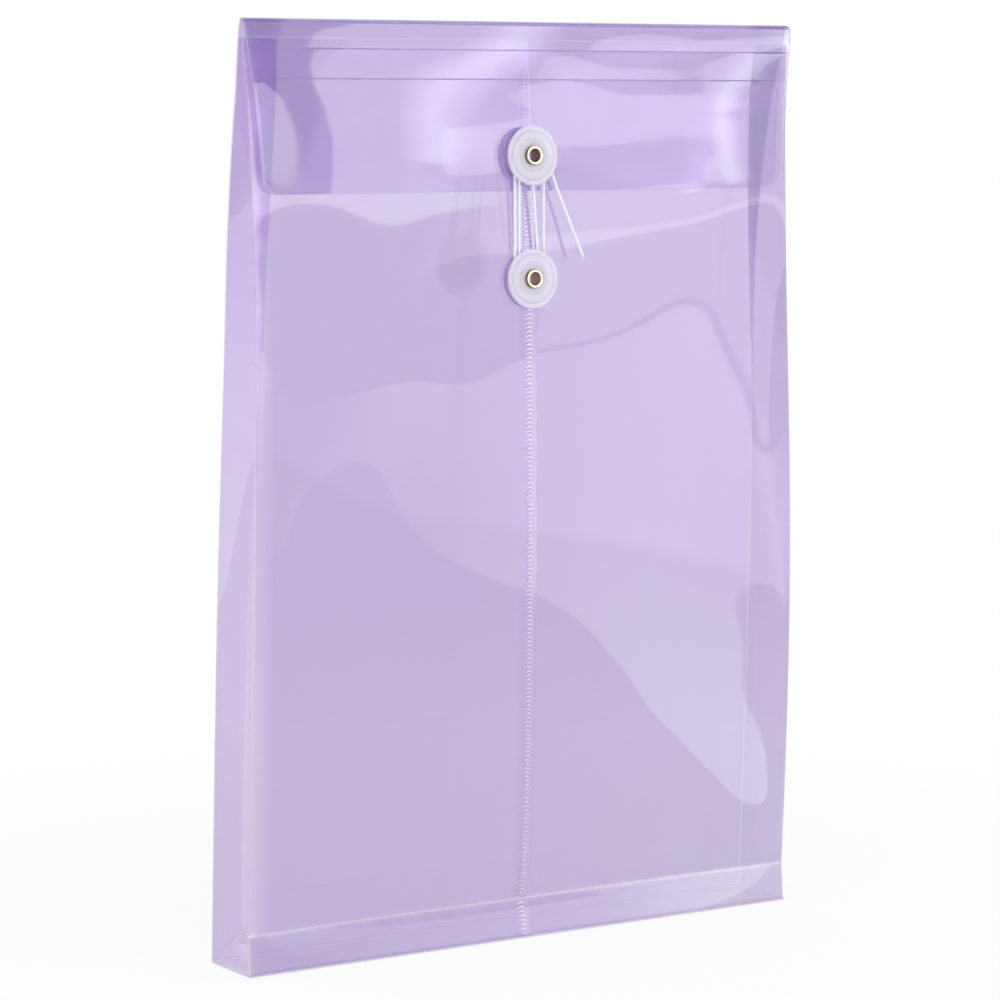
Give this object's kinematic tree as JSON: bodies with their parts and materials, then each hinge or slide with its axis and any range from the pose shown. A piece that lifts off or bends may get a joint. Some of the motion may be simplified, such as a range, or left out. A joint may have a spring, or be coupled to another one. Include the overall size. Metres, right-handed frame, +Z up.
{
  "type": "string_tie_envelope",
  "caption": "Upright see-through plastic document envelope with gusseted sides, a block foot, a fold-over flap and round buttons closed by a wound string.",
  "frame": {"origin": "on the floor, at the middle of the foot", "axes": "+X along the front panel to the viewer's right, +Y from the front to the back, +Z up"},
  "size_m": [0.248, 0.0388, 0.354],
  "materials": {
    "sheet_plastic": "see-through lilac polypropylene sheet, glossy",
    "weld_bead": "pressed and whitened weld",
    "washer_plastic": "lilac reinforcing disc",
    "button_plastic": "milky clear moulded plastic",
    "eyelet_metal": "pale polished metal",
    "waxed_string": "white waxed twist"
  },
  "bodies": {
    "pocket_back": {"back_panel": "sheet_plastic", "bottom_panel": "sheet_plastic", "left_foot_strip": "sheet_plastic", "right_foot_strip": "sheet_plastic", "foot_weld": "weld_bead", "left_gusset_back": "sheet_plastic", "right_gusset_back": "sheet_plastic", "left_gusset_foot": "sheet_plastic", "right_gusset_foot": "sheet_plastic"},
    "pocket_front": {"left_front_panel": "sheet_plastic", "right_front_panel": "sheet_plastic", "lower_weld": "weld_bead", "upper_weld": "weld_bead", "left_gusset_front": "sheet_plastic", "right_gusset_front": "sheet_plastic", "pocket_washer": "washer_plastic", "pocket_eyelet": "eyelet_metal"},
    "flap_root": {"flap_root_strip": "sheet_plastic"},
    "flap_middle": {"flap_middle_strip": "sheet_plastic"},
    "flap_end": {"flap_tongue": "sheet_plastic", "flap_washer": "washer_plastic", "flap_eyelet": "eyelet_metal", "string": "waxed_string", "string_knot": "waxed_string"},
    "flap_disc": {"flap_button": "button_plastic"},
    "pocket_disc": {"pocket_button": "button_plastic"}
  },
  "joints": [
    {"name": "flap_fold", "type": "hinge", "parent": "pocket_back", "child": "flap_root", "pos_m": [0, -0.013, 0.35258], "axis": [-1, 0, 0], "range_deg": [0, 180], "deforming": ["string"]},
    {"name": "flap_score_upper", "type": "hinge", "parent": "flap_root", "child": "flap_middle", "pos_m": [0, -0.01533, 0.3431], "axis": [-1, 0, 0], "range_deg": [0, 15]},
    {"name": "flap_score_lower", "type": "hinge", "parent": "flap_middle", "child": "flap_end", "pos_m": [0, -0.01602, 0.33212], "axis": [-1, 0, 0], "range_deg": [0, 15]},
    {"name": "mouth_swing", "type": "hinge", "parent": "pocket_back", "child": "pocket_front", "pos_m": [0, -0.01408, 0.0155], "axis": [1, 0, 0], "range_deg": [0, 3.6]},
    {"name": "flap_disc_spin", "type": "hinge", "parent": "flap_end", "child": "flap_disc", "pos_m": [-0.003, -0.01782, 0.30337], "axis": [0, -0.9988, 0.0492], "continuous": true},
    {"name": "pocket_disc_spin", "type": "hinge", "parent": "pocket_front", "child": "pocket_disc", "pos_m": [-0.003, -0.01804, 0.25678], "axis": [0, -0.9995, 0.0312], "continuous": true}
  ],
  "couplings": [
    {"joint": "mouth_swing", "follows": "flap_fold", "ratio": 0.02}
  ]
}
